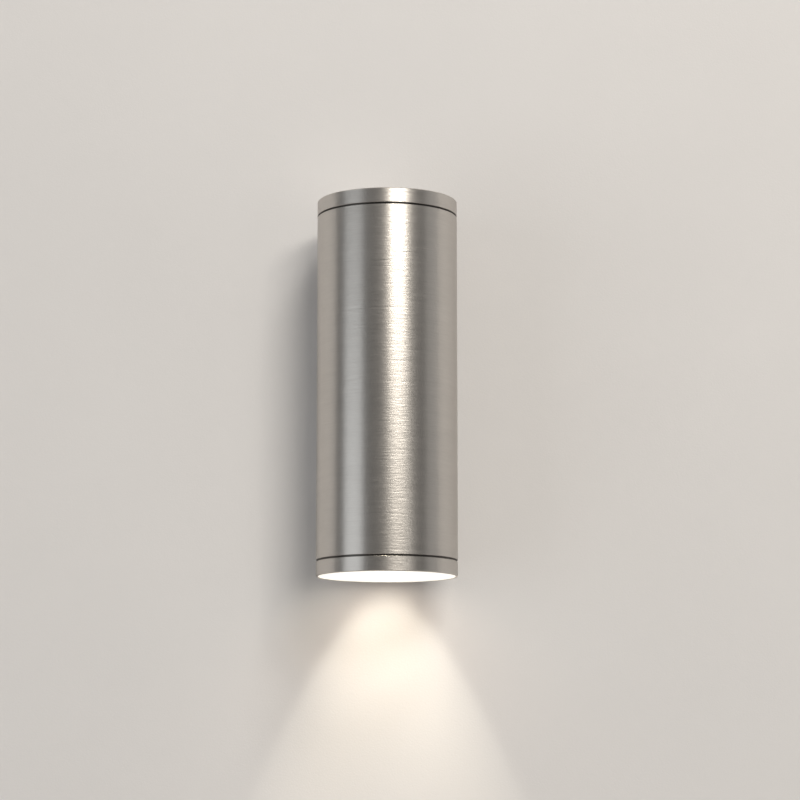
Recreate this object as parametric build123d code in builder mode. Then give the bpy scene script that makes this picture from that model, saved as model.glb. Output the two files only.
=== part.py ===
"""Tube wall light: a brushed steel tube on a slim wall saddle, with a screwed cap above and a
screwed glass ring below.

Millimetres. +Z is up and the wall is the plane Y = 0, with the light in front of it at Y < 0.
The origin is the centre of the bracket's wall face, and the tube's axis is vertical at X = 0.
"""
from build123d import *
import math
import os

os.makedirs("parts", exist_ok=True)

# ---------------------------------------------------------------- driving dimensions
LIGHT_D = 60.0            # outside diameter of tube, cap and bezel
LIGHT_H = 161.4           # overall height
TUBE_WALL = 2.0
RIM_H = 6.4               # height of cap and bezel outside the tube
SEAM_H = 0.4              # open shadow line between the tube and each rim
SEAM_DEPTH = 0.8          # how far the seam's land stands back from the surface
EDGE = 0.3                # broken edges of the turned steel
WALL_GAP = 3.5            # tube's back to the wall

THREAD_PITCH = 1.5
THREAD_TURNS = 5          # turns that free the cap or the bezel
THREAD_SPARE = 0.5        # travel left over once the spigot is out of the tube
SPIGOT_GAP = 0.25
SPIGOT_WALL = 2.25
SEAL_W = 1.6              # height of the ring seals
SEAL_T = 1.2              # their radial thickness
SEAL_ROUND = 0.45         # their corner radius, as a share of the thickness
SEAL_BACK = 1.2           # from the tube's end to the groove
SEAL_FIT = 0.08           # clearance of a seal to the bore and in its groove
CAP_T = 3.0               # thickness of the cap's top

GLASS_T = 3.0
GLASS_LIP = 0.8           # steel left round the glass
GLASS_FIT = 0.1
GLASS_SETBACK = 0.2
GLASS_GASKET_T = 1.0

SADDLE_W = 46.0
SADDLE_H = 84.0
SADDLE_D = 12.9           # from the wall to the saddle's front edges
SADDLE_WALL = 2.5
SADDLE_CORNER = 4.0
SEAT_FIT = 0.03           # between the saddle's seat and the tube
WALL_GASKET_T = 1.0
WALL_GASKET_W = 2.0
TONGUE_W = 14.0
TONGUE_L = 15.5
SADDLE_SCREW_INSET = 7.5  # from the pocket's end to the saddle screw in its tongue

BRACKET_FIT = 0.5         # between the bracket's tabs and the saddle's pocket, each side
BRACKET_GAP = 2.0         # between the bracket's ends and the saddle's tongues
SHEET = 1.5               # steel sheet of the bracket and the inner strap
TAB_H = 14.0
TAB_D = 8.0               # from the wall to the tabs' front
SLOT_INSET = 7.0          # from the bracket's edges to the middle of each wall slot
SLOT_L = 8.0
SLOT_W = 4.5
LOCK_Y = -5.0

CABLE_Z = 8.0             # height of the supply cable's way in
CABLE_HOLE_R = 3.5
GROMMET_NECK_R = 4.9
GROMMET_FLANGE_R = 6.5
GROMMET_FLANGE_T = 1.2
GROMMET_FIT = 0.1
BRACKET_CABLE_R = 6.0
STRAP_CABLE_R = 4.5

M4_R = 2.0
M4_CLEARANCE = 0.2
M4_HEAD_R = 4.0
M4_HEAD_H = 2.4
M4_KEY_R = 1.4            # hexagon recess of the countersunk screws, to its corners
M4_KEY_DEPTH = 1.6
M3_R = 1.5
M3_HEAD_R = 2.75
M3_HEAD_H = 1.8
M25_R = 1.25
M25_HEAD_R = 2.3
M25_HEAD_H = 1.5
NUT_AF = 7.0
NUT_H = 3.2
NUT_TIP = 0.5             # screw's end past its nut
EARTH_TIP = 1.2           # earth screw's end past the strap
SCREW_FIT = 0.05
HEAD_TAPER = 12.0         # degrees, on the sides of a pan head
RECESS_SPAN = 1.1         # cross recess of a pan head, in head radii
RECESS_W = 0.26           # in head radii
RECESS_DEPTH = 0.6        # in head heights

STRAP_W = 24.0
STRAP_TOP_GAP = 2.9       # strap's top below the cap's spigot
STRAP_END = 7.0           # from the lower saddle screw to the strap's foot
STRAP_FIT = 0.05
SHELF_REACH = 14.0        # shelf's length past the tube's axis
SHELF_SLOT_X = 16.0
SHELF_SLOT_Y = 8.0
BEND_R = 1.5
NEAR = 0.01               # tolerance for picking an edge by its place

LAMP_FIT = 0.5            # lamp's radius less than the bore of the glass ring that it shines through
LAMP_SETBACK = 0.9        # from the glass ring's spigot up to the lamp's front face
LAMP_RIM_H = 5.0
LAMP_BODY_H = 32.0
LAMP_NECK_D = 29.0
LAMP_BELLY = 0.58         # radius halfway up the lamp, as a share of the way from neck to rim
LAMP_COLLAR_H = 2.0       # straight part of the base under the neck
LAMP_BASE_D = 23.0
LAMP_BASE_H = 14.0
LAMP_TWIST = 20.0         # degrees from locked to free in the holder
FIN_COUNT = 18
FIN_W = 2.6
FIN_DEPTH = 2.4
LENS_RIM = 2.0            # rim of the lamp round its lens
LENS_T = 2.0
LENS_SETBACK = 0.4
PIN_PITCH = 10.0
PIN_NECK_R = 1.5
PIN_HEAD_R = 2.5
PIN_PLAY = 0.2            # between the pin heads and the floor they lock on
PIN_HEAD_L = 2.2

HOLDER_D = 28.0
HOLDER_H = 14.0
HOLDER_GAP = 0.5          # lamp base to holder
HOLDER_SCREW_Y = 9.5
HOLDER_SCREW_BITE = 3.5   # thread of the holder's screws in its face plate
KEYHOLE_PLATE = 4.8       # face plate of the holder, under the pin heads
PIN_FIT = 0.3             # clearance round the pins in the keyholes
CONTACT_T = 0.6
CONTACT_W = 4.6
PORT_R = 1.7
FERRULE_R = 1.4
FERRULE_L = 3.0

POLE_PITCH = 8.0
POLES = 3
BLOCK_RISE = 5.0          # from the upper saddle screw to the block's lower end
BLOCK_W = 17.0
BLOCK_D = 12.0
BLOCK_END = 1.0
BLOCK_GROOVE = 1.0
BLOCK_GROOVE_D = 8.0
CLAMP_GAP = 0.25          # between each clamp and the block's own screw
CLAMP_BORE_R = 1.5
CLAMP_L = 14.0
CLAMP_FIT = 0.1
WELL_R = 2.1
WELL_X = 4.5
TERMINAL_SCREW_SETBACK = 1.0

LEAD_R = 1.0
LEAD_IN = 2.0             # how far a lead goes into its terminal
TAG_R = 4.0
TAG_T = 0.8
BARREL_R = 1.7
BARREL_X = 6.0
BARREL_L = 4.5

# ---------------------------------------------------------------- derived places
LIGHT_R = LIGHT_D / 2
BORE_R = LIGHT_R - TUBE_WALL
AXIS_Y = -(LIGHT_R + WALL_GAP)
TUBE_END_Z = LIGHT_H / 2 - RIM_H - SEAM_H
SPIGOT_L = THREAD_PITCH * THREAD_TURNS - THREAD_SPARE
SPIGOT_R = BORE_R - SPIGOT_GAP
SPIGOT_BORE_R = SPIGOT_R - SPIGOT_WALL
GROOVE_R = BORE_R - SEAL_T - 2 * SEAL_FIT
GROOVE_W = SEAL_W + 2 * SEAL_FIT
LAND_R = LIGHT_R - SEAM_DEPTH
GLASS_SEAT_R = LIGHT_R - GLASS_LIP
RIM_END = SEAM_H + RIM_H
LEDGE = RIM_END - GLASS_SETBACK - GLASS_T - GLASS_GASKET_T
GLASS_TOP_Z = -(TUBE_END_Z + LEDGE + GLASS_GASKET_T)

POCKET_W = SADDLE_W - 2 * SADDLE_WALL
POCKET_H = SADDLE_H - 2 * SADDLE_WALL
POCKET_CORNER = SADDLE_CORNER - SADDLE_WALL / 2
TONGUE_Z = POCKET_H / 2 - TONGUE_L / 2
M4_CLEAR_R = M4_R + M4_CLEARANCE
SADDLE_SCREW_Z = POCKET_H / 2 - SADDLE_SCREW_INSET
EARTH_Z = (CABLE_Z + SADDLE_SCREW_Z) / 2
BRACKET_W = POCKET_W - 2 * BRACKET_FIT
BRACKET_H = POCKET_H - 2 * TONGUE_L - 2 * BRACKET_GAP
SLOT_X = BRACKET_W / 2 - SLOT_INSET
SLOT_Z = BRACKET_H / 2 - SLOT_INSET

STRAP_BACK_Y = AXIS_Y + math.sqrt((BORE_R - STRAP_FIT) ** 2 - (STRAP_W / 2) ** 2)
STRAP_FRONT_Y = STRAP_BACK_Y - SHEET
STRAP_TOP_Z = TUBE_END_Z - SPIGOT_L - STRAP_TOP_GAP
STRAP_FOOT_Z = -(SADDLE_SCREW_Z + STRAP_END)
STRAP_H = STRAP_TOP_Z - STRAP_FOOT_Z

LAMP_R = SPIGOT_BORE_R - LAMP_FIT
LAMP_NECK_R = LAMP_NECK_D / 2
LAMP_FACE_Z = -(TUBE_END_Z - SPIGOT_L) + LAMP_SETBACK
LAMP_BACK_Z = LAMP_FACE_Z + LAMP_BODY_H
LAMP_BASE_Z = LAMP_BACK_Z + LAMP_BASE_H
LENS_R = LAMP_R - LENS_RIM
LENS_FACE_Z = LAMP_FACE_Z + LENS_SETBACK
PIN_NECK_L = HOLDER_GAP + KEYHOLE_PLATE + PIN_PLAY
HOLDER_Z = LAMP_BASE_Z + HOLDER_GAP
SHELF_Z = HOLDER_Z + HOLDER_H
CHAMBER_Z = HOLDER_Z + KEYHOLE_PLATE
HOLDER_BODY_H = HOLDER_H - KEYHOLE_PLATE
CONTACT_Z = LAMP_BASE_Z + PIN_NECK_L + PIN_HEAD_L + PIN_FIT
FERRULE_TOP_Z = CONTACT_Z + CONTACT_T + FERRULE_L

BLOCK_H = POLES * POLE_PITCH + 2 * BLOCK_END
BLOCK_Z = SADDLE_SCREW_Z + BLOCK_RISE + BLOCK_H / 2
BLOCK_FRONT_Y = STRAP_FRONT_Y - BLOCK_D
CLAMP_R = POLE_PITCH / 2 - M25_R - CLAMP_GAP
CLAMP_Y = STRAP_FRONT_Y - BLOCK_D / 2
POLE_ZS = [BLOCK_Z + POLE_PITCH * (i - (POLES - 1) / 2) for i in range(POLES)]
BARREL_Y = STRAP_FRONT_Y - BARREL_R
GROMMET_OUT_Y = -WALL_GAP + GROMMET_FLANGE_T
GROMMET_LEDGE_Y = AXIS_Y + math.sqrt(BORE_R ** 2 - GROMMET_FLANGE_R ** 2) - SCREW_FIT
GROMMET_IN_Y = GROMMET_LEDGE_Y - GROMMET_FLANGE_T

TUBE_AXIS = Axis((0, AXIS_Y, 0), (0, 0, 1))
# radius from the tube's axis across, height up
PROFILE = Plane((0, AXIS_Y, 0), x_dir=(1, 0, 0), z_dir=(0, -1, 0))


def level(z):
    """The horizontal plane at height z, centred on the tube's axis."""
    return Plane((0, AXIS_Y, z))


def facing(y):
    """The plane parallel to the wall at Y = y, whose normal points away from the wall."""
    return Plane((0, y, 0), x_dir=(1, 0, 0), z_dir=(0, -1, 0))


def front_at(x, y, z):
    return Plane((x, y, z), x_dir=(1, 0, 0), z_dir=(0, -1, 0))


def save(builder, name):
    builder.part.label = name
    export_step(builder.part, f"parts/{name}.step")


def closure_outline(side, inside):
    """Half section of a screwed closure: spigot, seal groove, land and rim, then the points inside.

    Heights count outwards from the tube's end, up for side 1 and down for side -1.
    """
    groove_in = -SEAL_BACK - GROOVE_W
    points = [
        (SPIGOT_BORE_R, -SPIGOT_L),
        (SPIGOT_R - EDGE, -SPIGOT_L),
        (SPIGOT_R, -SPIGOT_L + EDGE),
        (SPIGOT_R, groove_in),
        (GROOVE_R, groove_in),
        (GROOVE_R, -SEAL_BACK),
        (SPIGOT_R, -SEAL_BACK),
        (SPIGOT_R, 0),
        (LAND_R, 0),
        (LAND_R, SEAM_H),
        (LIGHT_R - EDGE, SEAM_H),
        (LIGHT_R, SEAM_H + EDGE),
        (LIGHT_R, RIM_END - EDGE),
        (LIGHT_R - EDGE, RIM_END),
    ]
    return [(r, side * (TUBE_END_Z + u)) for r, u in points + inside]


def turned(points):
    """Revolve a half section about the tube's axis, in the open part."""
    with BuildSketch(PROFILE) as half_section:
        with BuildLine():
            Polyline(*points, close=True)
        make_face()
    revolve(half_section.sketch, axis=TUBE_AXIS)


def pan_screw(seat, shank_r, length, head_r, head_h):
    """A pan-head screw: seat is the plane under its head, with its normal out of the head."""
    with BuildSketch(seat) as shank:
        Circle(shank_r)
    extrude(shank.sketch, amount=-length)
    with BuildSketch(seat) as head:
        Circle(head_r)
    extrude(head.sketch, amount=head_h, taper=HEAD_TAPER)
    with BuildSketch(seat.offset(head_h)) as recess:
        Rectangle(head_r * RECESS_SPAN, head_r * RECESS_W)
        Rectangle(head_r * RECESS_W, head_r * RECESS_SPAN)
    extrude(recess.sketch, amount=-head_h * RECESS_DEPTH, mode=Mode.SUBTRACT)


# ---------------------------------------------------------------- steel casing
with BuildPart() as body_tube:
    turned([
        (BORE_R, -TUBE_END_Z),
        (LIGHT_R - EDGE, -TUBE_END_Z),
        (LIGHT_R, -TUBE_END_Z + EDGE),
        (LIGHT_R, TUBE_END_Z - EDGE),
        (LIGHT_R - EDGE, TUBE_END_Z),
        (BORE_R, TUBE_END_Z),
    ])
    # cable and saddle screw holes, in the back wall only
    with BuildSketch(facing(0)):
        with Locations((0, CABLE_Z)):
            Circle(GROMMET_NECK_R + GROMMET_FIT)
        with Locations((0, SADDLE_SCREW_Z), (0, -SADDLE_SCREW_Z)):
            Circle(M4_CLEAR_R)
    extrude(amount=-AXIS_Y, mode=Mode.SUBTRACT)
save(body_tube, "body_tube")

with BuildPart() as top_cap:
    turned(closure_outline(1, [
        (0, RIM_END),
        (0, RIM_END - CAP_T),
        (SPIGOT_BORE_R, RIM_END - CAP_T),
    ]))
    pocket = top_cap.edges().filter_by(GeomType.CIRCLE).filter_by(
        lambda e: abs(e.radius - SPIGOT_BORE_R) < NEAR)
    fillet(pocket.sort_by(Axis.Z)[-1], CAP_T / 2)
save(top_cap, "top_cap")

with BuildPart() as bezel_ring:
    turned(closure_outline(-1, [
        (GLASS_SEAT_R, RIM_END),
        (GLASS_SEAT_R, LEDGE),
        (SPIGOT_BORE_R, LEDGE),
    ]))
save(bezel_ring, "bezel_ring")

SEAL_MID_R = BORE_R - SEAL_FIT - SEAL_T / 2
SEAL_MID_Z = TUBE_END_Z - SEAL_BACK - GROOVE_W / 2

for name, side in (("top_cap_seal", 1), ("bezel_seal", -1)):
    with BuildPart() as ring_seal:
        with BuildSketch(PROFILE):
            with Locations((SEAL_MID_R, side * SEAL_MID_Z)):
                RectangleRounded(SEAL_T, SEAL_W, SEAL_T * SEAL_ROUND)
        revolve(axis=TUBE_AXIS)
    save(ring_seal, name)

# ---------------------------------------------------------------- glass and its gasket
with BuildPart() as front_glass:
    with BuildSketch(level(GLASS_TOP_Z)):
        Circle(GLASS_SEAT_R - GLASS_FIT)
    extrude(amount=-GLASS_T)
    chamfer(front_glass.edges().filter_by(GeomType.CIRCLE), EDGE / 2)
save(front_glass, "front_glass")

with BuildPart() as glass_gasket:
    with BuildSketch(level(GLASS_TOP_Z)):
        Circle(GLASS_SEAT_R - GLASS_FIT)
        Circle(SPIGOT_BORE_R, mode=Mode.SUBTRACT)
    extrude(amount=GLASS_GASKET_T)
save(glass_gasket, "glass_gasket")

# ---------------------------------------------------------------- wall saddle, bracket and gasket
with BuildPart() as wall_saddle:
    with BuildSketch(facing(-WALL_GASKET_T)):
        RectangleRounded(SADDLE_W, SADDLE_H, SADDLE_CORNER)
    extrude(amount=SADDLE_D - WALL_GASKET_T)
    # one pocket right through, but for the two tongues that take the saddle screws
    with BuildSketch(facing(-WALL_GASKET_T)):
        RectangleRounded(POCKET_W, POCKET_H, POCKET_CORNER)
        with Locations((0, TONGUE_Z), (0, -TONGUE_Z)):
            Rectangle(TONGUE_W, TONGUE_L, mode=Mode.SUBTRACT)
    extrude(amount=SADDLE_D, mode=Mode.SUBTRACT)
    # concave seat, cut to the tube
    with BuildSketch(level(-SADDLE_H)):
        Circle(LIGHT_R + SEAT_FIT)
    extrude(amount=2 * SADDLE_H, mode=Mode.SUBTRACT)
    with Locations(
        Plane((0, -WALL_GASKET_T, SADDLE_SCREW_Z), x_dir=(1, 0, 0), z_dir=(0, 1, 0)),
        Plane((0, -WALL_GASKET_T, -SADDLE_SCREW_Z), x_dir=(1, 0, 0), z_dir=(0, 1, 0)),
    ):
        CounterSinkHole(M4_CLEAR_R, M4_HEAD_R + SCREW_FIT, counter_sink_angle=90)
    with BuildSketch(Plane.YZ.offset(-SADDLE_W)):
        with Locations((LOCK_Y, 0)):
            Circle(M4_CLEAR_R)
    extrude(amount=2 * SADDLE_W, mode=Mode.SUBTRACT)
save(wall_saddle, "wall_saddle")

with BuildPart() as wall_gasket:
    with BuildSketch(facing(0)):
        RectangleRounded(POCKET_W + 2 * WALL_GASKET_W, POCKET_H + 2 * WALL_GASKET_W, SADDLE_CORNER)
        RectangleRounded(POCKET_W, POCKET_H, POCKET_CORNER, mode=Mode.SUBTRACT)
    extrude(amount=WALL_GASKET_T)
save(wall_gasket, "wall_gasket")

with BuildPart() as wall_bracket:
    with BuildSketch(facing(0)):
        RectangleRounded(BRACKET_W, BRACKET_H, SHEET)
        with GridLocations(2 * SLOT_X, 2 * SLOT_Z, 2, 2):
            SlotOverall(SLOT_L, SLOT_W, mode=Mode.SUBTRACT)
        with Locations((0, CABLE_Z)):
            Circle(BRACKET_CABLE_R, mode=Mode.SUBTRACT)
    extrude(amount=SHEET)
    # two side tabs folded forward, tapped for the lock screws
    for x in (-BRACKET_W / 2, BRACKET_W / 2 - SHEET):
        with BuildSketch(Plane.YZ.offset(x)):
            with BuildLine():
                FilletPolyline(
                    (0, -TAB_H / 2), (-TAB_D, -TAB_H / 2), (-TAB_D, TAB_H / 2), (0, TAB_H / 2),
                    radius=SHEET,
                )
                Line((0, TAB_H / 2), (0, -TAB_H / 2))
            make_face()
            with Locations((LOCK_Y, 0)):
                Circle(M4_R + SCREW_FIT, mode=Mode.SUBTRACT)
        extrude(amount=SHEET)
save(wall_bracket, "wall_bracket")

with BuildPart() as lock_screws:
    for side in (1, -1):
        pan_screw(
            Plane((side * SADDLE_W / 2, LOCK_Y, 0), x_dir=(0, 1, 0), z_dir=(side, 0, 0)),
            M4_R, SADDLE_W / 2 - BRACKET_W / 2 + 2 * SHEET, M4_HEAD_R, M4_HEAD_H,
        )
save(lock_screws, "lock_screws")

SADDLE_SCREW_TIP_Y = STRAP_FRONT_Y - NUT_H - NUT_TIP

with BuildPart() as saddle_screws:
    for z in (SADDLE_SCREW_Z, -SADDLE_SCREW_Z):
        head = Plane((0, -WALL_GASKET_T, z), x_dir=(1, 0, 0), z_dir=(0, 1, 0))
        with BuildSketch(head):
            Circle(M4_HEAD_R)
        extrude(amount=-(M4_HEAD_R - M4_R), taper=45)
        with BuildSketch(head):
            Circle(M4_R)
        extrude(amount=SADDLE_SCREW_TIP_Y + WALL_GASKET_T)
        with BuildSketch(head):
            RegularPolygon(M4_KEY_R, 6)
        extrude(amount=-M4_KEY_DEPTH, mode=Mode.SUBTRACT)
save(saddle_screws, "saddle_screws")

# ---------------------------------------------------------------- cable grommet
with BuildPart() as cable_grommet:
    grommet_plane = front_at(0, GROMMET_OUT_Y, CABLE_Z)
    with BuildSketch(grommet_plane):
        Circle(GROMMET_FLANGE_R)
    extrude(amount=GROMMET_FLANGE_R)
    # the outer flange follows the tube's back
    with BuildSketch(level(CABLE_Z - 2 * GROMMET_FLANGE_R)):
        Circle(LIGHT_R)
    extrude(amount=4 * GROMMET_FLANGE_R, mode=Mode.SUBTRACT)
    with BuildSketch(grommet_plane):
        Circle(GROMMET_NECK_R)
    extrude(amount=GROMMET_OUT_Y - GROMMET_IN_Y)
    with BuildSketch(front_at(0, GROMMET_LEDGE_Y, CABLE_Z)):
        Circle(GROMMET_FLANGE_R)
    extrude(amount=GROMMET_FLANGE_T, taper=20)
    with BuildSketch(grommet_plane):
        Circle(CABLE_HOLE_R)
    extrude(amount=GROMMET_OUT_Y - GROMMET_IN_Y, mode=Mode.SUBTRACT)
save(cable_grommet, "cable_grommet")

# ---------------------------------------------------------------- inner strap and its nuts
with BuildPart() as holder_bracket:
    with BuildSketch(facing(STRAP_BACK_Y)):
        with Locations((0, (STRAP_TOP_Z + STRAP_FOOT_Z) / 2)):
            RectangleRounded(STRAP_W, STRAP_H, BEND_R)
        with Locations((0, SADDLE_SCREW_Z), (0, -SADDLE_SCREW_Z)):
            Circle(M4_CLEAR_R, mode=Mode.SUBTRACT)
        with Locations((0, CABLE_Z)):
            Circle(STRAP_CABLE_R, mode=Mode.SUBTRACT)
        with Locations((0, EARTH_Z)):
            Circle(M4_R + SCREW_FIT, mode=Mode.SUBTRACT)
        with Locations((0, BLOCK_Z - POLE_PITCH / 2)):
            Circle(M25_R + SCREW_FIT, mode=Mode.SUBTRACT)
    extrude(amount=SHEET)
    # shelf that carries the lampholder, open in the middle for the leads
    shelf_back = STRAP_FRONT_Y - AXIS_Y
    with BuildSketch(level(SHELF_Z)):
        with Locations((0, (shelf_back - SHELF_REACH) / 2)):
            Rectangle(STRAP_W, shelf_back + SHELF_REACH)
        RectangleRounded(SHELF_SLOT_X, SHELF_SLOT_Y, BEND_R, mode=Mode.SUBTRACT)
        with Locations((0, HOLDER_SCREW_Y), (0, -HOLDER_SCREW_Y)):
            Circle(M3_R + SCREW_FIT, mode=Mode.SUBTRACT)
    extrude(amount=SHEET)
    shelf_tips = holder_bracket.edges().filter_by(Axis.Z).sort_by(Axis.Y)[:2]
    fillet(shelf_tips, 2 * BEND_R)
    bends = holder_bracket.edges().filter_by(Axis.X).filter_by(
        lambda e: abs(e.center().Y - STRAP_FRONT_Y) < NEAR and e.length > STRAP_W / 2
        and SHELF_Z - SHEET < e.center().Z < SHELF_Z + 2 * SHEET)
    fillet(bends, BEND_R)
save(holder_bracket, "holder_bracket")

with BuildPart() as bracket_nuts:
    for z in (SADDLE_SCREW_Z, -SADDLE_SCREW_Z):
        with BuildSketch(front_at(0, STRAP_FRONT_Y, z)):
            RegularPolygon(NUT_AF / 2, 6, major_radius=False)
            Circle(M4_R + SCREW_FIT, mode=Mode.SUBTRACT)
        extrude(amount=NUT_H)
save(bracket_nuts, "bracket_nuts")

# ---------------------------------------------------------------- lampholder
# a pin turns from the keyhole's narrow end, where it is locked, back to the wide hole
PIN_ANGLES = (0, 180)


def keyhole_arc(angle):
    return CenterArc((0, 0), PIN_PITCH / 2, angle - LAMP_TWIST, LAMP_TWIST)


def hold_at(angle):
    return (PIN_PITCH / 2 * math.cos(math.radians(angle)), PIN_PITCH / 2 * math.sin(math.radians(angle)))


keyhole_arcs = [keyhole_arc(angle) for angle in PIN_ANGLES]
locked_places = [hold_at(angle) for angle in PIN_ANGLES]
entry_places = [hold_at(angle - LAMP_TWIST) for angle in PIN_ANGLES]

with BuildPart() as lampholder_face:
    with BuildSketch(level(HOLDER_Z)):
        Circle(HOLDER_D / 2)
    extrude(amount=KEYHOLE_PLATE)
    chamfer(lampholder_face.faces().sort_by(Axis.Z)[0].edges(), 3 * EDGE)
    # keyholes: the wide end lets a pin's head through, and its neck turns in the slot
    with BuildSketch(level(HOLDER_Z)):
        for arc in keyhole_arcs:
            SlotArc(arc, 2 * (PIN_NECK_R + PIN_FIT))
        with Locations(*entry_places):
            Circle(PIN_HEAD_R + PIN_FIT)
    extrude(amount=KEYHOLE_PLATE, mode=Mode.SUBTRACT)
    with BuildSketch(level(CHAMBER_Z)):
        with Locations((0, HOLDER_SCREW_Y), (0, -HOLDER_SCREW_Y)):
            Circle(M3_R + SCREW_FIT)
    extrude(amount=-HOLDER_SCREW_BITE, mode=Mode.SUBTRACT)
save(lampholder_face, "lampholder_face")

with BuildPart() as lampholder_body:
    with BuildSketch(level(CHAMBER_Z)):
        Circle(HOLDER_D / 2)
    extrude(amount=HOLDER_BODY_H)
    chamfer(lampholder_body.faces().sort_by(Axis.Z)[-1].edges(), 3 * EDGE)
    # chambers where the pin heads turn under their contacts, and the ports for the leads
    with BuildSketch(level(CHAMBER_Z)):
        for arc in keyhole_arcs:
            SlotArc(arc, 2 * (PIN_HEAD_R + PIN_FIT))
    extrude(amount=CONTACT_Z + CONTACT_T - CHAMBER_Z, mode=Mode.SUBTRACT)
    with BuildSketch(level(SHELF_Z)):
        with Locations(*locked_places):
            Circle(PORT_R)
    extrude(amount=CONTACT_Z - SHELF_Z, mode=Mode.SUBTRACT)
    with BuildSketch(level(SHELF_Z)):
        with Locations((0, HOLDER_SCREW_Y), (0, -HOLDER_SCREW_Y)):
            Circle(M3_R + SCREW_FIT)
    extrude(amount=-HOLDER_BODY_H, mode=Mode.SUBTRACT)
save(lampholder_body, "lampholder_body")

with BuildPart() as lampholder_contacts:
    with BuildSketch(level(CONTACT_Z)):
        for arc in keyhole_arcs:
            SlotArc(arc, CONTACT_W)
    extrude(amount=CONTACT_T)
    with BuildSketch(level(CONTACT_Z + CONTACT_T)):
        with Locations(*locked_places):
            Circle(FERRULE_R)
    extrude(amount=FERRULE_L)
save(lampholder_contacts, "lampholder_contacts")

with BuildPart() as holder_screws:
    for y in (HOLDER_SCREW_Y, -HOLDER_SCREW_Y):
        pan_screw(
            Plane((0, AXIS_Y + y, SHELF_Z + SHEET)), M3_R,
            SHEET + HOLDER_BODY_H + HOLDER_SCREW_BITE, M3_HEAD_R, M3_HEAD_H,
        )
save(holder_screws, "holder_screws")

# ---------------------------------------------------------------- lamp
with BuildPart() as lamp_body:
    with BuildSketch(PROFILE):
        with BuildLine():
            Polyline(
                (0, LAMP_BACK_Z), (0, LENS_FACE_Z + LENS_T), (LENS_R, LENS_FACE_Z + LENS_T),
                (LENS_R, LAMP_FACE_Z), (LAMP_R - EDGE, LAMP_FACE_Z), (LAMP_R, LAMP_FACE_Z + EDGE),
                (LAMP_R, LAMP_FACE_Z + LAMP_RIM_H),
            )
            ThreePointArc(
                (LAMP_R, LAMP_FACE_Z + LAMP_RIM_H),
                (LAMP_NECK_R + LAMP_BELLY * (LAMP_R - LAMP_NECK_R), LAMP_FACE_Z + LAMP_BODY_H / 2),
                (LAMP_NECK_R, LAMP_BACK_Z),
            )
            Line((LAMP_NECK_R, LAMP_BACK_Z), (0, LAMP_BACK_Z))
        make_face()
    revolve(axis=TUBE_AXIS)
    # cooling slots round the back of the body
    with BuildSketch(level(LAMP_FACE_Z + 2 * LAMP_RIM_H)):
        with PolarLocations(LAMP_NECK_R + FIN_DEPTH, FIN_COUNT):
            with Locations((LAMP_R / 2, 0)):
                Rectangle(LAMP_R, FIN_W)
    extrude(amount=LAMP_BODY_H - 3 * LAMP_RIM_H, mode=Mode.SUBTRACT)
save(lamp_body, "lamp_body")

with BuildPart() as lamp_lens:
    turned([
        (0, LENS_FACE_Z + LENS_T),
        (0, LENS_FACE_Z),
        (LENS_R - GLASS_FIT - EDGE, LENS_FACE_Z),
        (LENS_R - GLASS_FIT, LENS_FACE_Z + EDGE),
        (LENS_R - GLASS_FIT, LENS_FACE_Z + LENS_T),
    ])
save(lamp_lens, "lamp_lens")

with BuildPart() as lamp_base:
    turned([
        (0, LAMP_BACK_Z),
        (LAMP_NECK_R, LAMP_BACK_Z),
        (LAMP_NECK_R, LAMP_BACK_Z + LAMP_COLLAR_H),
        (LAMP_BASE_D / 2, LAMP_BACK_Z + LAMP_BASE_H / 2),
        (LAMP_BASE_D / 2, LAMP_BASE_Z - EDGE),
        (LAMP_BASE_D / 2 - EDGE, LAMP_BASE_Z),
        (0, LAMP_BASE_Z),
    ])
save(lamp_base, "lamp_base")

with BuildPart() as lamp_pins:
    with BuildSketch(level(LAMP_BASE_Z)):
        with Locations(*locked_places):
            Circle(PIN_NECK_R)
    extrude(amount=PIN_NECK_L)
    with BuildSketch(level(LAMP_BASE_Z + PIN_NECK_L)):
        with Locations(*locked_places):
            Circle(PIN_HEAD_R)
    extrude(amount=PIN_HEAD_L)
save(lamp_pins, "lamp_pins")

# ---------------------------------------------------------------- terminal block
with BuildPart() as terminal_block:
    with BuildSketch(facing(STRAP_FRONT_Y)):
        with Locations((0, BLOCK_Z)):
            RectangleRounded(BLOCK_W, BLOCK_H, BLOCK_END)
    extrude(amount=BLOCK_D)
    # grooves between the poles
    with BuildSketch(facing(BLOCK_FRONT_Y)):
        for z in POLE_ZS[1:]:
            with Locations((0, z - POLE_PITCH / 2)):
                Rectangle(2 * BLOCK_W, BLOCK_GROOVE)
    extrude(amount=-BLOCK_GROOVE_D, mode=Mode.SUBTRACT)
    # a way through each pole for its clamp, and two wells for its screws
    with BuildSketch(Plane.YZ.offset(-BLOCK_W)):
        with Locations(*[(CLAMP_Y, z) for z in POLE_ZS]):
            Circle(CLAMP_R + CLAMP_FIT)
    extrude(amount=2 * BLOCK_W, mode=Mode.SUBTRACT)
    with BuildSketch(facing(BLOCK_FRONT_Y)):
        with Locations(*[(x, z) for x in (-WELL_X, WELL_X) for z in POLE_ZS]):
            Circle(WELL_R)
    extrude(amount=-BLOCK_D / 2, mode=Mode.SUBTRACT)
    with BuildSketch(facing(BLOCK_FRONT_Y)):
        with Locations((0, BLOCK_Z - POLE_PITCH / 2)):
            Circle(M25_R + SCREW_FIT)
    extrude(amount=-BLOCK_D, mode=Mode.SUBTRACT)
save(terminal_block, "terminal_block")

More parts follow.
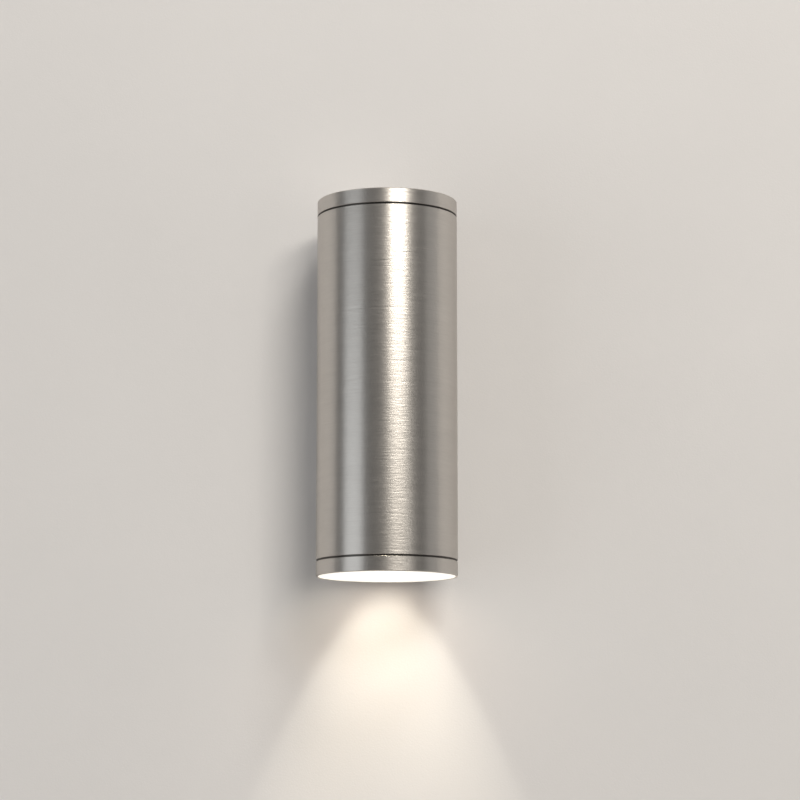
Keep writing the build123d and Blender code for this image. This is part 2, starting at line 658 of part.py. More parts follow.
with BuildPart() as terminal_clamps:
    with BuildSketch(Plane.YZ.offset(-CLAMP_L / 2)):
        with Locations(*[(CLAMP_Y, z) for z in POLE_ZS]):
            Circle(CLAMP_R)
            Circle(CLAMP_BORE_R, mode=Mode.SUBTRACT)
    extrude(amount=CLAMP_L)
    with BuildSketch(facing(BLOCK_FRONT_Y)):
        with Locations(*[(x, z) for x in (-WELL_X, WELL_X) for z in POLE_ZS]):
            Circle(M3_R + SCREW_FIT)
    extrude(amount=-BLOCK_D / 2, mode=Mode.SUBTRACT)
save(terminal_clamps, "terminal_clamps")

with BuildPart() as terminal_screws:
    for x in (-WELL_X, WELL_X):
        for z in POLE_ZS:
            with BuildSketch(front_at(x, BLOCK_FRONT_Y + TERMINAL_SCREW_SETBACK, z)):
                Circle(M3_R)
            extrude(amount=-(BLOCK_D / 2 - TERMINAL_SCREW_SETBACK - LEAD_R - CLAMP_FIT))
            with BuildSketch(front_at(x, BLOCK_FRONT_Y + TERMINAL_SCREW_SETBACK, z)):
                Rectangle(4 * M3_R, M3_R / 3)
            extrude(amount=-M3_R / 2, mode=Mode.SUBTRACT)
save(terminal_screws, "terminal_screws")

with BuildPart() as block_screw:
    pan_screw(
        front_at(0, BLOCK_FRONT_Y, BLOCK_Z - POLE_PITCH / 2),
        M25_R, BLOCK_D + SHEET, M25_HEAD_R, M25_HEAD_H,
    )
save(block_screw, "block_screw")

# ---------------------------------------------------------------- earth point
with BuildPart() as earth_tag:
    with BuildSketch(facing(STRAP_FRONT_Y)):
        with Locations((0, EARTH_Z)):
            Circle(TAG_R)
        with Locations((BARREL_X / 2, EARTH_Z)):
            Rectangle(BARREL_X, 2 * BARREL_R)
        with Locations((0, EARTH_Z)):
            Circle(M4_R + SCREW_FIT, mode=Mode.SUBTRACT)
    extrude(amount=TAG_T)
    with BuildSketch(Plane.YZ.offset(BARREL_X - TAG_T)):
        with Locations((BARREL_Y, EARTH_Z)):
            Circle(BARREL_R)
    extrude(amount=BARREL_L + TAG_T)
    with BuildSketch(Plane.YZ.offset(BARREL_X + BARREL_L)):
        with Locations((BARREL_Y, EARTH_Z)):
            Circle(LEAD_R + SCREW_FIT)
    extrude(amount=-LEAD_IN, mode=Mode.SUBTRACT)
save(earth_tag, "earth_tag")

with BuildPart() as earth_screw:
    pan_screw(
        front_at(0, STRAP_FRONT_Y - TAG_T, EARTH_Z),
        M4_R, TAG_T + SHEET + EARTH_TIP, M4_HEAD_R, M4_HEAD_H,
    )
save(earth_screw, "earth_screw")

# ---------------------------------------------------------------- inner leads
CLAMP_FACE_X = BLOCK_W / 2 - LEAD_IN
LEAD_TURN_R = 5.0

# each route starts in its terminal and ends in the lampholder or the earth tag
lead_routes = {
    "neutral_lead": [
        (CLAMP_FACE_X, CLAMP_Y, POLE_ZS[0]), (16, CLAMP_Y, POLE_ZS[0]), (13, -25, 16),
        (PIN_PITCH / 2, AXIS_Y, 4), (PIN_PITCH / 2, AXIS_Y, FERRULE_TOP_Z),
    ],
    "earth_lead": [
        (CLAMP_FACE_X, CLAMP_Y, POLE_ZS[1]), (15, CLAMP_Y, POLE_ZS[1]), (15.5, -12.4, 36),
        (15, BARREL_Y, EARTH_Z), (BARREL_X + BARREL_L - LEAD_IN, BARREL_Y, EARTH_Z),
    ],
    "live_lead": [
        (CLAMP_FACE_X, CLAMP_Y, POLE_ZS[2]), (17.5, CLAMP_Y, POLE_ZS[2]), (18, -32, 30),
        (4, -40, 14), (-PIN_PITCH / 2, AXIS_Y, 2), (-PIN_PITCH / 2, AXIS_Y, FERRULE_TOP_Z),
    ],
}
for name, route in lead_routes.items():
    with BuildPart() as lead:
        with BuildLine() as lead_line:
            FilletPolyline(*route, radius=LEAD_TURN_R)
        start_normal = Vector(*route[1]) - Vector(*route[0])
        with BuildSketch(Plane(route[0], z_dir=start_normal)):
            Circle(LEAD_R)
        sweep(path=lead_line.wires()[0])
    save(lead, name)
    tube_volume = math.pi * LEAD_R ** 2 * lead_line.wires()[0].length
    print(f"{name}: volume over section times length = {lead.part.volume / tube_volume:.4f}")
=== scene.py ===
"""Looks for the tube wall light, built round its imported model.

Metres, in the model's own frame: +Z is up, the wall is the plane Y = 0 and the light hangs in
front of it at Y < 0. The tube's axis is vertical at X = 0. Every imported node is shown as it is, in a
new finish, and two thread ridges are added.
"""

import math

import bmesh
import bpy
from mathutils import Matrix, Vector


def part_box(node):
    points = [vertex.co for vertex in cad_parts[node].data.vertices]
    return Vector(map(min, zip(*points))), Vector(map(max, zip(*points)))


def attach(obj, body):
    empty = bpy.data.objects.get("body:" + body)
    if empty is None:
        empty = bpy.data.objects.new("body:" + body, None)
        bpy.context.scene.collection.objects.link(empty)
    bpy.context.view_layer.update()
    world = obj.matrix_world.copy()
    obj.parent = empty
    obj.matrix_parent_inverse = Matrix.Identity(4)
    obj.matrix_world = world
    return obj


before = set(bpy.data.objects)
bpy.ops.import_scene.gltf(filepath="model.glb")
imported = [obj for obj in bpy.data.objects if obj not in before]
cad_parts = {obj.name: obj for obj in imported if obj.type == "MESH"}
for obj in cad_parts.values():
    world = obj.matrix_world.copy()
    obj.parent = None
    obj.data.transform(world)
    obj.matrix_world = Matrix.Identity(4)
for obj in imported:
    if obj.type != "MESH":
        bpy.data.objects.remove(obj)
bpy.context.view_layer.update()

MM = 0.001

# ---------------------------------------------------------------- sizes read from the imported parts
tube_low, tube_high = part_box("body_tube")
_, cap_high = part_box("top_cap")
bezel_low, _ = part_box("bezel_ring")
AXIS_Y = (tube_low.y + tube_high.y) / 2
LIGHT_R = (tube_high.x - tube_low.x) / 2
TOP_Z = cap_high.z
BOTTOM_Z = bezel_low.z
TUBE_END_Z = tube_high.z


# ---------------------------------------------------------------- helpers
def new_object(name, data):
    """An object in the scene that holds a mesh, a lamp or a camera."""
    thing = bpy.data.objects.new(name, data)
    bpy.context.scene.collection.objects.link(thing)
    return thing


class Graph:
    """A node tree and short calls that add nodes to it. A source is a socket or a plain value."""

    # colour sockets of a Mix node, by number because its other kinds of socket have the same names
    MIX_A = 6
    MIX_B = 7
    MIX_RESULT = 2

    def __init__(self, tree):
        self.tree = tree
        self.nodes = tree.nodes

    def add(self, kind, **settings):
        """A new node of this kind, with these settings."""
        node = self.nodes.new(kind)
        for key, value in settings.items():
            setattr(node, key, value)
        return node

    def feed(self, target, source):
        """Give a node's input socket its source."""
        if isinstance(source, bpy.types.NodeSocket):
            self.tree.links.new(source, target)
        else:
            target.default_value = source

    def math(self, operation, *sources):
        """What a Math node makes of one or two sources."""
        node = self.add("ShaderNodeMath", operation=operation)
        for target, source in zip(node.inputs, sources):
            self.feed(target, source)
        return node.outputs[0]

    def total(self, *terms):
        """The sum of several sources, each with its weight."""
        result, *others = [self.math("MULTIPLY", source, weight) for source, weight in terms]
        for other in others:
            result = self.math("ADD", result, other)
        return result

    def combine(self, *parts):
        """The vector of three sources."""
        node = self.add("ShaderNodeCombineXYZ")
        for target, source in zip(node.inputs, parts):
            self.feed(target, source)
        return node.outputs[0]

    def split(self, vector):
        """The three parts of a vector, which are the outputs X, Y and Z."""
        node = self.add("ShaderNodeSeparateXYZ")
        self.feed(node.inputs[0], vector)
        return node.outputs

    def place(self):
        """Where the shaded point lies in its object's frame, which is the model's frame at rest."""
        return self.add("ShaderNodeTexCoord").outputs["Object"]

    def noise(self, vector, scale, detail=2.0, rough=0.5, w=None):
        """Noise of so many cells per metre, mostly near 0.5. With w it has a fourth dimension."""
        node = self.add("ShaderNodeTexNoise")
        if w is not None:
            node.noise_dimensions = "4D"
            self.feed(node.inputs["W"], w)
        self.feed(node.inputs["Vector"], vector)
        self.feed(node.inputs["Scale"], scale)
        self.feed(node.inputs["Detail"], detail)
        self.feed(node.inputs["Roughness"], rough)
        return node.outputs["Fac"]

    def cells(self, vector, scale):
        """Cells round scattered points, so many per metre: a Color each, and the Distance to the point."""
        node = self.add("ShaderNodeTexVoronoi", feature="F1")
        self.feed(node.inputs["Vector"], vector)
        self.feed(node.inputs["Scale"], scale)
        return node.outputs

    def spread(self, source, low, high, from_low=0.3, from_high=0.7, kind="LINEAR"):
        """Stretch the range from_low to from_high over low to high, and hold the ends beyond it."""
        node = self.add("ShaderNodeMapRange", clamp=True, interpolation_type=kind)
        self.feed(node.inputs["Value"], source)
        self.feed(node.inputs["From Min"], from_low)
        self.feed(node.inputs["From Max"], from_high)
        self.feed(node.inputs["To Min"], low)
        self.feed(node.inputs["To Max"], high)
        return node.outputs[0]

    def share(self, source, none=0.3, full=0.7):
        """0 up to one value of a source, 1 from another on, and a straight line between them."""
        return self.spread(source, 0.0, 1.0, none, full)

    def mix(self, share, a, b):
        """Colour a where share is 0, colour b where it is 1."""
        node = self.add("ShaderNodeMix", data_type="RGBA")
        self.feed(node.inputs["Factor"], share)
        self.feed(node.inputs[self.MIX_A], a)
        self.feed(node.inputs[self.MIX_B], b)
        return node.outputs[self.MIX_RESULT]


class Look(Graph):
    """A new material, with its shader."""

    def __init__(self, name):
        self.material = bpy.data.materials.new(name)
        self.material.use_nodes = True
        super().__init__(self.material.node_tree)
        self.shader = self.nodes["Principled BSDF"]

    def set(self, **sockets):
        """Feed the shader's sockets, with _ for each space in a socket's name."""
        for name, source in sockets.items():
            self.feed(self.shader.inputs[name.replace("_", " ")], source)

    def bump(self, height, strength, depth):
        """Relief from a height of 0 to 1, which stands for this depth in metres."""
        node = self.add("ShaderNodeBump")
        self.feed(node.inputs["Height"], height)
        self.feed(node.inputs["Strength"], strength)
        self.feed(node.inputs["Distance"], depth)
        self.feed(self.shader.inputs["Normal"], node.outputs[0])

    def from_axis(self):
        """The shaded point's x and y from the tube's axis, and its height."""
        x, y, z = self.split(self.place())
        return x, self.math("SUBTRACT", y, AXIS_Y), z

    def length(self, x, y):
        """How long a way with these two parts is."""
        square = self.math("ADD", self.math("MULTIPLY", x, x), self.math("MULTIPLY", y, y))
        return self.math("SQRT", square)


def shades(colour, spread):
    """A darker and a lighter version of a colour."""
    dark = [c * (1 - spread) for c in colour] + [1]
    light = [min(1.0, c * (1 + spread)) for c in colour] + [1]
    return dark, light


# ---------------------------------------------------------------- materials
STEEL = (0.60, 0.575, 0.545)
STEEL_MOTTLE = 0.035           # how far its colour strays, as a share
STEEL_EDGE_TINT = (0.78, 0.77, 0.76, 1)
STEEL_STRETCH = 0.42           # how strongly the grooves draw out a highlight
ACROSS_GROOVES = 0.25          # of a turn, from along the grooves to the way a highlight is drawn out
AXIS_CLEAR = 0.1 * MM          # least distance from the axis that the marks are worked out with

# the lathe's marks: noise cells to a radian round the axis, cells to a metre along it, detail of noise
FINE_GROOVES = (13.0, 1700.0, 2.0)
SCRATCHES = (4.0, 1100.0, 2.0)
BROAD_BANDS = (0.7, 260.0, 2.0)
DEEP_LINES = (1.1, 800.0, 0.0)
DEEP_LINE_NOISE = (0.60, 0.76)  # noise at which a deep line begins, and at which it is full
MARK_ROUGH = 0.6               # how strong the finer detail of a mark's noise is
MARK_DEPTH = 0.045 * MM        # of the relief that they make
MARK_GLOSS = 0.03              # how far the roughness strays

SEAM_H = 0.4 * MM              # open line between the tube and each rim
SEAM_ZS = (TUBE_END_Z + SEAM_H / 2, -TUBE_END_Z - SEAM_H / 2)
SEAM_REACH = 0.5 * MM          # how far from its middle a seam gets painted shade
SEAM_FADE = 0.15 * MM          # depth at which its painted shade is full
SEAM_SHADE_TONE = 0.12               # colour of the painted shade in a seam, as a share of the steel's
SEAM_STEEL_LEFT = 0.12               # share of the steel's own colour left where the painted shade is full


def turned_steel(name, colour, roughness):
    """Steel turned on a lathe: fine grooves run round the tube's axis, so light spreads across them."""
    look = Look(name)
    x, y, z = look.from_axis()
    radius = look.math("MAXIMUM", look.length(x, y), AXIS_CLEAR)
    around_x = look.math("DIVIDE", x, radius)
    around_y = look.math("DIVIDE", y, radius)

    def marks(round_cells, along_cells, detail):
        """Noise drawn out round the axis. A metre of height or of radius holds along_cells."""
        place = look.combine(look.math("MULTIPLY", around_x, round_cells),
                             look.math("MULTIPLY", around_y, round_cells),
                             look.math("MULTIPLY", z, along_cells))
        return look.noise(place, 1.0, detail, MARK_ROUGH, w=look.math("MULTIPLY", radius, along_cells))

    fine = marks(*FINE_GROOVES)
    scratches = marks(*SCRATCHES)
    broad = marks(*BROAD_BANDS)
    lines = look.share(marks(*DEEP_LINES), *DEEP_LINE_NOISE)

    tone = look.total((scratches, 0.5), (broad, 0.5))
    shade = look.mix(look.share(tone, none=0.35, full=0.65), *shades(colour, STEEL_MOTTLE))
    # painted shade: the steel is darkened inside the two seams, where shadow falls in the gap, so that no
    # glint crosses them
    painted_seam_shade = [c * SEAM_SHADE_TONE for c in colour] + [1]
    seam_unshaded = look.spread(radius, SEAM_STEEL_LEFT, 1.0, LIGHT_R - SEAM_FADE, LIGHT_R)
    for seam_z in SEAM_ZS:
        away = look.math("ABSOLUTE", look.math("SUBTRACT", z, seam_z))
        outside = look.math("GREATER_THAN", away, SEAM_REACH)
        shade = look.mix(look.math("MAXIMUM", seam_unshaded, outside), painted_seam_shade, shade)

    gloss = look.total((fine, 0.5), (scratches, 0.5))
    look.set(Base_Color=shade, Metallic=1.0, Specular_Tint=STEEL_EDGE_TINT,
             Roughness=look.spread(gloss, roughness - MARK_GLOSS, roughness + MARK_GLOSS),
             Anisotropic=STEEL_STRETCH, Anisotropic_Rotation=ACROSS_GROOVES,
             Tangent=look.add("ShaderNodeTangent", direction_type="RADIAL", axis="Z").outputs[0])
    relief = look.total((fine, 0.6), (scratches, 1.0), (lines, -0.25))
    look.bump(relief, strength=1.0, depth=MARK_DEPTH)
    return look.material


METAL_TOOTH = 0.04 * MM
METAL_CLOUDS = 0.12            # cells of the mottling to a cell of the grain


def fine_metal(name, colour, roughness, grain, spread=0.06, tooth=0.1, gloss_spread=0.06):
    """Metal with no turning lines: mottled a little, with a fine tooth. grain counts per metre."""
    look = Look(name)
    place = look.place()
    cloud = look.noise(place, grain * METAL_CLOUDS, detail=3.0, rough=0.6)
    speck = look.noise(place, grain)
    look.set(Base_Color=look.mix(look.share(cloud), *shades(colour, spread)), Metallic=1.0,
             Roughness=look.spread(speck, roughness - gloss_spread, roughness + gloss_spread))
    look.bump(speck, strength=tooth, depth=METAL_TOOTH)
    return look.material


ZINC_CRYSTALS = 900.0          # per metre
ZINC_CLOUDS = 120.0            # per metre
ZINC_MOTTLE = 0.10
ZINC_GLOSS = 0.05              # how far the roughness strays down
ZINC_DULL = 0.08               # and up
ZINC_RELIEF = 0.05 * MM


def zinc_sheet(name, colour, roughness):
    """Bright zinc on rolled sheet: small crystals of slightly different grey."""
    look = Look(name)
    place = look.place()
    crystals = look.split(look.cells(place, ZINC_CRYSTALS)["Color"])["X"]
    cloud = look.noise(place, ZINC_CLOUDS, detail=3.0)
    tone = look.total((crystals, 0.6), (cloud, 0.4))
    look.set(Base_Color=look.mix(tone, *shades(colour, ZINC_MOTTLE)), Metallic=1.0,
             Roughness=look.spread(cloud, roughness - ZINC_GLOSS, roughness + ZINC_DULL))
    look.bump(cloud, strength=0.15, depth=ZINC_RELIEF)
    return look.material


MOULD_CLOUDS = 90.0            # per metre
MOULD_GLOSS = 0.05             # how far the roughness strays
MOULD_TOOTH = 0.05 * MM


def moulded(name, colour, roughness, tooth, grain=1600.0, spread=0.03, shine=0.5):
    """Plastic, rubber or ceramic from a mould: faint clouds, a fine tooth. grain counts per metre."""
    look = Look(name)
    place = look.place()
    cloud = look.noise(place, MOULD_CLOUDS, detail=3.0)
    speck = look.noise(place, grain, detail=3.0)
    look.set(Base_Color=look.mix(look.share(cloud), *shades(colour, spread)),
             Roughness=look.spread(speck, roughness - MOULD_GLOSS, roughness + MOULD_GLOSS),
             Specular_IOR_Level=shine)
    look.bump(speck, strength=tooth, depth=MOULD_TOOTH)
    return look.material


FOAM_BUBBLES = 2600.0          # per metre
# how much darker the bubbles' pits are painted: painted shade
FOAM_PIT_SHADE = 0.35
FOAM_RELIEF = 0.15 * MM


def cell_foam(name, colour):
    """Closed-cell foam: small open bubbles on its cut edge, with painted shade in their pits."""
    look = Look(name)
    bubbles = look.cells(look.place(), FOAM_BUBBLES)["Distance"]
    # painted shade: darker towards each bubble's middle, where its pit is deepest
    shade = look.mix(look.share(bubbles, none=0.1, full=0.6), *shades(colour, FOAM_PIT_SHADE))
    look.set(Base_Color=shade, Roughness=0.9)
    look.bump(bubbles, strength=0.6, depth=FOAM_RELIEF)
    return look.material


GLASS_BODY = (0.42, 0.42, 0.41, 1)
GLASS_RIM_FADE = (0.97, 0.95, 0.91, 1)    # share of the glow that is left at the glass's rim
GLASS_FADE_R = 0.72 * LIGHT_R  # where it starts to fade
GLASS_GRAIN = 2400.0           # per metre
GLASS_TOOTH = 0.05 * MM


def glowing_glass(name, colour, strength):
    """Satin glass lit from behind, a little less towards its rim, with a soft tooth in its surface."""
    look = Look(name)
    x, y, _ = look.from_axis()
    tooth = look.noise(look.place(), GLASS_GRAIN)
    faded = [c * share for c, share in zip(colour, GLASS_RIM_FADE)]
    glow = look.mix(look.share(look.length(x, y), GLASS_FADE_R, LIGHT_R), colour, faded)
    look.set(Base_Color=GLASS_BODY, Roughness=0.45, Emission_Color=glow, Emission_Strength=strength)
    look.bump(tooth, strength=0.15, depth=GLASS_TOOTH)
    return look.material


PIP_PITCH = 2.2 * MM
PIP_DEPTH = 0.25 * MM
# how much darker the hollows between the pips are painted, and lighter their tops: painted shade
LENS_PIP_SHADE = 0.04


def lens_plastic(name, colour):
    """Diffusing lens: rows of small round pips moulded in its face, with painted shade that follows them.
    """
    look = Look(name)
    x, y, _ = look.from_axis()
    waves = [look.math("COSINE", look.math("MULTIPLY", way, 2 * math.pi / PIP_PITCH)) for way in (x, y)]
    pips = look.math("MULTIPLY", *waves)
    # painted shade: lighter on the pips' tops, darker in the hollows between them
    shade = look.mix(look.share(pips, none=-1.0, full=1.0), *shades(colour, LENS_PIP_SHADE))
    look.set(Base_Color=shade, Roughness=0.28)
    look.bump(pips, strength=0.6, depth=PIP_DEPTH)
    return look.material


STRIPE_FROM = (15 * MM, -12 * MM)   # x and y in the lead's upright run, where its wave starts
STRIPE_ACROSS = 900.0          # radians of the wave to a metre across the lead
STRIPE_ALONG = 160.0           # and to a metre of height
STRIPE_EDGE = (0.15, 0.30)     # of the wave, between which base turns to stripe
INSULATION_GRAIN = 2000.0      # per metre
INSULATION_TOOTH = 0.03 * MM
INSULATION_ROUGHNESS = (0.36, 0.48)


def striped_insulation(name, base, stripe):
    """Green insulation with a yellow stripe that slants round the lead, once in about 40 mm."""
    look = Look(name)
    x, y, z = look.split(look.place())
    from_x, from_y = STRIPE_FROM
    across = look.math("ADD", look.math("SUBTRACT", x, from_x), look.math("SUBTRACT", y, from_y))
    wave = look.math("SINE", look.total((across, STRIPE_ACROSS), (z, STRIPE_ALONG)))
    speck = look.noise(look.place(), INSULATION_GRAIN)
    look.set(Base_Color=look.mix(look.share(wave, *STRIPE_EDGE), base, stripe),
             Roughness=look.spread(speck, *INSULATION_ROUGHNESS))
    look.bump(speck, strength=0.08, depth=INSULATION_TOOTH)
    return look.material


steel = turned_steel("turned_steel", STEEL, roughness=0.32)
glass_lit = glowing_glass("glass_lit", (1.0, 0.985, 0.915, 1), strength=0.90)
aluminium = fine_metal("cast_aluminium", (0.52, 0.52, 0.53), roughness=0.48, grain=1400.0, tooth=0.35)
zinc = zinc_sheet("zinc_sheet", (0.62, 0.64, 0.66), roughness=0.34)
screws = fine_metal("screw_steel", (0.60, 0.60, 0.59), roughness=0.26, grain=7000.0, tooth=0.04,
                    spread=0.03, gloss_spread=0.02)
brass = fine_metal("brass", (0.74, 0.56, 0.26), roughness=0.30, grain=2200.0)
rubber = moulded("black_rubber", (0.022, 0.022, 0.023), roughness=0.62, tooth=0.3, spread=0.15, shine=0.35)
foam = cell_foam("foam_rubber", (0.05, 0.05, 0.05))
silicone = moulded("white_silicone", (0.78, 0.78, 0.75), roughness=0.5, tooth=0.1)
steatite = moulded("steatite", (0.80, 0.77, 0.69), roughness=0.66, grain=2400.0, tooth=0.3)
block = moulded("block_plastic", (0.78, 0.77, 0.70), roughness=0.45, tooth=0.15)
lamp_white = moulded("lamp_plastic", (0.80, 0.80, 0.79), roughness=0.38, tooth=0.08)
lens = lens_plastic("lamp_lens", (0.86, 0.86, 0.85))
brown = moulded("brown_insulation", (0.15, 0.055, 0.02), roughness=0.4, grain=INSULATION_GRAIN, tooth=0.08)
blue = moulded("blue_insulation", (0.03, 0.12, 0.42), roughness=0.4, grain=INSULATION_GRAIN, tooth=0.08)
green_yellow = striped_insulation("green_yellow_insulation", base=(0.05, 0.26, 0.04, 1),
                                  stripe=(0.75, 0.60, 0.03, 1))

FINISHES = {
    steel: ("body_tube", "top_cap", "bezel_ring"),
    glass_lit: ("front_glass",),
    aluminium: ("wall_saddle",),
    zinc: ("wall_bracket", "holder_bracket"),
    screws: ("lock_screws", "saddle_screws", "bracket_nuts", "holder_screws", "terminal_screws",
             "block_screw", "earth_screw"),
    brass: ("lampholder_contacts", "terminal_clamps", "earth_tag", "lamp_pins"),
    rubber: ("cable_grommet", "top_cap_seal", "bezel_seal"),
    foam: ("wall_gasket",),
    silicone: ("glass_gasket",),
    steatite: ("lampholder_body", "lampholder_face"),
    block: ("terminal_block",),
    lamp_white: ("lamp_body", "lamp_base"),
    lens: ("lamp_lens",),
    brown: ("live_lead",),
    blue: ("neutral_lead",),
    green_yellow: ("earth_lead",),
}
for material, nodes in FINISHES.items():
    for node in nodes:
        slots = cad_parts[node].data.materials
        slots.clear()
        slots.append(material)

# ---------------------------------------------------------------- threads on the cap and the glass ring
TUBE_WALL = 2 * MM
SPIGOT_GAP = 0.25 * MM         # between a spigot and the tube's bore, which it screws into
SPIGOT_R = LIGHT_R - TUBE_WALL - SPIGOT_GAP
THREAD_PITCH = 1.5 * MM
THREAD_START = 3.5 * MM        # from the tube's end, past the groove of the ring seal
THREAD_RUN = 2.9 * MM          # height over which the ridge climbs
THREAD_ENDS = 12               # the ridge thins out over one part in so many of its run at each end
RIDGE_H = 0.19 * MM            # out of the spigot
RIDGE_W = 0.95 * MM            # at its foot
CREST_W = RIDGE_W / 4
RIDGE_ROOT = 0.15 * MM         # sunk into the spigot
RIDGE_STEPS = 120              # round one turn
SHARP_EDGE = math.radians(40)  # an edge bent more than this stays sharp


def thread_ridge(name, body, low_z):
    """A right-hand ridge wound up a spigot from low_z, thinning out at both ends."""
    root = SPIGOT_R - RIDGE_ROOT
    shoulder = SPIGOT_R - RIDGE_ROOT / 2
    steps = round(RIDGE_STEPS * THREAD_RUN / THREAD_PITCH)
    bm = bmesh.new()
    rings = []
    for step in range(steps + 1):
        turn = 2 * math.pi * step / RIDGE_STEPS
        middle = low_z + THREAD_PITCH * step / RIDGE_STEPS
        fade = min(1.0, THREAD_ENDS * step / steps, THREAD_ENDS * (steps - step) / steps)
        crest = SPIGOT_R + RIDGE_H * fade - RIDGE_ROOT * (1 - fade) / 2
        flank = [(root, RIDGE_W / 2), (shoulder, RIDGE_W / 2), (crest, CREST_W / 2)]
        outline = [(radius, -up) for radius, up in flank] + flank[::-1]
        rings.append([
            bm.verts.new((radius * math.cos(turn), AXIS_Y + radius * math.sin(turn), middle + up))
            for radius, up in outline
        ])
    for ring, after in zip(rings, rings[1:]):
        for i in range(len(ring)):
            j = (i + 1) % len(ring)
            bm.faces.new((ring[i], ring[j], after[j], after[i]))
    for end in (rings[0], rings[-1]):
        bm.faces.new(end)
    bmesh.ops.recalc_face_normals(bm, faces=bm.faces)
    mesh = bpy.data.meshes.new(name)
    bm.to_mesh(mesh)
    bm.free()
    mesh.materials.append(steel)
    for polygon in mesh.polygons:
        polygon.use_smooth = True
    mesh.set_sharp_from_angle(angle=SHARP_EDGE)
    ridge = new_object(name, mesh)
    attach(ridge, body)


thread_ridge("cap_thread", "cap", TUBE_END_Z - THREAD_START - THREAD_RUN)
thread_ridge("bezel_thread", "bezel", -TUBE_END_Z + THREAD_START)

# ---------------------------------------------------------------- camera
# the eye stands 36.9 tube radii in front of the axis, a little right of it, below the light
EYE_DISTANCE = 36.88 * LIGHT_R
EYE_DROP = 3.12 * LIGHT_R
EYE_RIGHT = 0.184 * LIGHT_R
PITCH_UP = math.radians(8.69)
LENS_MM = 118.14
SENSOR_MM = 36
CLIP_START = 0.01              # nearest and farthest that the camera sees
CLIP_END = 50

camera = new_object("camera", bpy.data.cameras.new("camera"))
camera.data.sensor_fit = "HORIZONTAL"
camera.data.sensor_width = SENSOR_MM
camera.data.lens = LENS_MM
camera.data.clip_start = CLIP_START
camera.data.clip_end = CLIP_END
camera.location = (EYE_RIGHT, AXIS_Y - EYE_DISTANCE, BOTTOM_Z - EYE_DROP)
camera.rotation_euler = (math.pi / 2 + PITCH_UP, 0, 0)
bpy.context.scene.camera = camera

# ---------------------------------------------------------------- wall and floor
WALL_GREY = (0.748, 0.740, 0.742)
FLOOR_GREY = (0.66, 0.64, 0.61)
PAINT_MOTTLE = 0.025
PAINT_CLOUDS = 5.0             # per metre
PAINT_GRAIN = 1300.0           # per metre
PAINT_TOOTH = 0.2 * MM
SEE_THROUGH = 12 * MM          # rays no longer than this pass the wall beside the light


def backdrop_paint(name, colour, tooth):
    """Painted plaster that shows its face only: from behind it isn't there.

    The short rays between the light's hidden back and the wall pass it, so that this back is lit
    when it is seen from behind.
    """
    look = Look(name)
    place = look.place()
    cloud = look.noise(place, PAINT_CLOUDS, detail=4.0, rough=0.55)
    speck = look.noise(place, PAINT_GRAIN, detail=3.0, rough=0.6)
    look.set(Base_Color=look.mix(look.share(cloud), *shades(colour, PAINT_MOTTLE)),
             Roughness=0.85, Specular_IOR_Level=0.2)
    look.bump(speck, strength=tooth, depth=PAINT_TOOTH)
    near = look.math("LESS_THAN", look.add("ShaderNodeLightPath").outputs["Ray Length"], SEE_THROUGH)
    beside = look.math("LESS_THAN", look.math("ABSOLUTE", look.split(place)["Z"]), TOP_Z)
    behind = look.add("ShaderNodeNewGeometry").outputs["Backfacing"]
    gone = look.math("MAXIMUM", behind, look.math("MULTIPLY", near, beside))
    choice = look.add("ShaderNodeMixShader")
    nothing = look.add("ShaderNodeBsdfTransparent")
    for target, source in zip(choice.inputs, (gone, look.shader.outputs[0], nothing.outputs[0])):
        look.feed(target, source)
    look.feed(look.nodes["Material Output"].inputs["Surface"], choice.outputs[0])
    return look.material


def backdrop(name, corners, material):
    """One flat face that isn't part of the object."""
    mesh = bpy.data.meshes.new(name)
    mesh.from_pydata(corners, [], [(0, 1, 2, 3)])
    mesh.materials.append(material)
    plane = new_object(name, mesh)


WALL_Y = 0.2 * MM              # just behind the wall bracket's back
FLOOR_Z = -1.3
REACH = 4.0                    # of wall and floor, from the middle
CEILING_Z = 2 * REACH

wall_paint = backdrop_paint("wall_paint", WALL_GREY, tooth=0.25)
backdrop("wall", [(-REACH, WALL_Y, FLOOR_Z), (REACH, WALL_Y, FLOOR_Z), (REACH, WALL_Y, CEILING_Z),
                  (-REACH, WALL_Y, CEILING_Z)], wall_paint)
floor_paint = backdrop_paint("floor_paint", FLOOR_GREY, tooth=0.1)
backdrop("floor", [(-REACH, -REACH, FLOOR_Z), (REACH, -REACH, FLOOR_Z), (REACH, REACH, FLOOR_Z),
                   (-REACH, REACH, FLOOR_Z)], floor_paint)

# ---------------------------------------------------------------- lights
# name: azimuth, elevation, distance, width, height, power, colour
SOFTBOXES = {
    "key_low": (18.5, 26, 1.8, 0.74, 0.36, 14.2, (1.0, 0.94, 0.85)),
    "key_foot": (36, -8, 1.8, 0.30, 0.30, 0.55, (1.0, 0.96, 0.90)),
    "key_high": (23, 50, 1.8, 0.50, 0.50, 9.0, (1.0, 0.95, 0.88)),
    "window": (-56, -10, 2.0, 1.22, 1.80, 6.5, (0.93, 0.97, 1.0)),
    "right_wash": (82, 10, 2.2, 1.2, 2.0, 2.15, (1.0, 0.97, 0.93)),
}


def softbox(name, azimuth, elevation, distance, width, height, power, colour):
    """A lit panel that faces the light's middle: azimuth turns right from straight in front."""
    lamp = bpy.data.lights.new(name, "AREA")
    lamp.shape = "RECTANGLE"
    lamp.size = width
    lamp.size_y = height
    lamp.energy = power
    lamp.color = colour
    turn = math.radians(azimuth)
    lift = math.radians(elevation)
    middle = Vector((0, AXIS_Y, 0))
    toward = Vector((math.sin(turn) * math.cos(lift), -math.cos(turn) * math.cos(lift), math.sin(lift)))
    holder = new_object(name, lamp)
    holder.location = middle + distance * toward
    holder.rotation_euler = toward.to_track_quat("Z", "Y").to_euler()
    holder.visible_camera = False


for name, values in SOFTBOXES.items():
    softbox(name, *values)

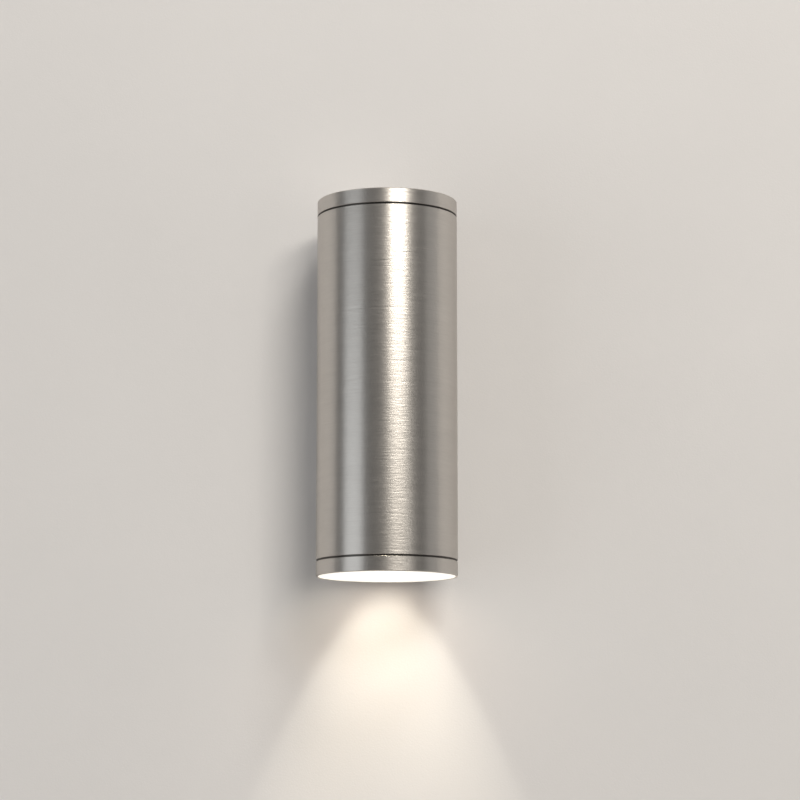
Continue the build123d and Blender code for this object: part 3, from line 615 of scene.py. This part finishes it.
# the room: dim round the horizon, brighter towards ceiling and floor
ROOM_TINT = (1.0, 0.975, 0.95, 1)
ROOM_DIM = 0.112
ROOM_BRIGHT = 0.40
ROOM_RISE = (0.25, 0.60)       # sines of the elevations between which it brightens

world = bpy.data.worlds.new("room")
world.use_nodes = True
bpy.context.scene.world = world
room = Graph(world.node_tree)
direction = room.add("ShaderNodeTexCoord").outputs["Generated"]
steepness = room.math("ABSOLUTE", room.split(direction)["Z"])
strength = room.spread(steepness, ROOM_DIM, ROOM_BRIGHT, *ROOM_RISE, kind="SMOOTHSTEP")
background = room.nodes["Background"].inputs
room.feed(background["Color"], ROOM_TINT)
room.feed(background["Strength"], strength)

# the beam that leaves the glass and spreads over the wall below: a soft cone, a crisper edge and the
# spill round it, with the haze that brightens the light's own shadow beside the beam's head
APEX_H = 77 * MM               # of the beam's cone, above the light's lower end
# name: x, y and height above the light's lower end, tilt (0 shines down, 90 at the wall),
# half angle, softness, power, colour
BEAMS = {
    "beam_cone": ((0, AXIS_Y, APEX_H), 0, 24, 0.7, 1.106, (1.0, 0.87, 0.67)),
    "beam_edge": ((0, AXIS_Y, APEX_H), 0, 22.6, 0.15, 0.314, (1.0, 0.98, 0.87)),
    "beam_spill": ((0, AXIS_Y, 18 * MM), 0, 70, 1.0, 0.042, (1.0, 0.56, 0.25)),
    "shade_haze": ((-25 * MM, -60 * MM, -19.3 * MM), 90, 25, 1.0, 0.030, (1.0, 0.90, 0.76)),
}
SPOT_R = 2 * MM                # of each lamp that throws a beam


def beam(name, place, tilt, half_angle, softness, power, colour):
    """A round beam that casts no shadow."""
    spot = bpy.data.lights.new(name, "SPOT")
    spot.energy = power
    spot.color = colour
    spot.spot_size = 2 * math.radians(half_angle)
    spot.spot_blend = softness
    spot.shadow_soft_size = SPOT_R
    spot.use_shadow = False
    holder = new_object(name, spot)
    holder.location = Vector((0, 0, BOTTOM_Z)) + Vector(place)
    holder.rotation_euler = (math.radians(tilt), 0, 0)
    holder.visible_camera = False


for name, values in BEAMS.items():
    beam(name, *values)

bpy.context.scene.view_settings.view_transform = "Standard"
